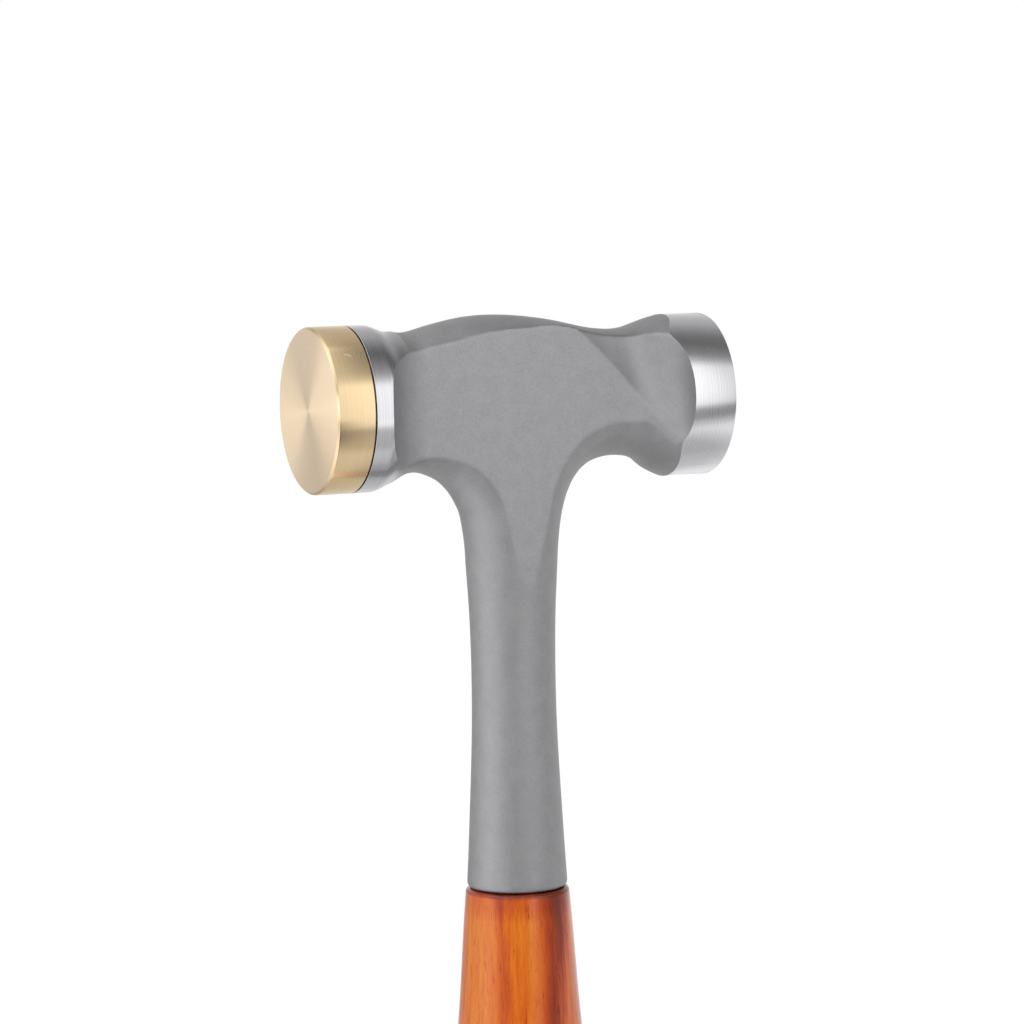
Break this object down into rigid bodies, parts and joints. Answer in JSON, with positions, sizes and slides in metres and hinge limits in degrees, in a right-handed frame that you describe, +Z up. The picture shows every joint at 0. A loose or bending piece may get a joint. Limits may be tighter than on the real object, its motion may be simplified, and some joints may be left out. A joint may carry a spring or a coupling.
{
  "type": "stamping hammer",
  "caption": "Jeweller's stamping hammer: cast stainless head that runs down into its own neck, screw-on brass striking face, plain steel striking face and an oiled padauk grip.",
  "frame": {"origin": "middle of the flat on the grip's butt, which the hammer stands on", "axes": "+Z up the grip and the neck, +X along the head from the neck to the steel face, -X to the brass face, -Y to the side that the picture shows"},
  "size_m": [0.0742, 0.0286, 0.2449],
  "materials": {
    "head_steel": "bead-blasted satin, with the turned ends polished",
    "face_brass": "fine turned and polished",
    "stud_oxide": "black oxide",
    "grip_padauk": "oiled and polished"
  },
  "bodies": {
    "head": {"hammer_head": "head_steel", "grip": "grip_padauk"},
    "stud": {"face_stud": "stud_oxide"},
    "face": {"brass_face": "face_brass"}
  },
  "joints": [
    {"name": "face_turn", "type": "hinge", "parent": "head", "child": "stud", "pos_m": [-0.03, 0, 0.2297], "axis": [-1, 0, 0], "range_deg": [0, 2160]},
    {"name": "face_travel", "type": "slide", "parent": "stud", "child": "face", "axis": [-1, 0, 0], "range_m": [0, 0.0075]}
  ],
  "couplings": [
    {"joint": "face_travel", "follows": "face_turn", "m_per_rad": 0.00019894}
  ]
}
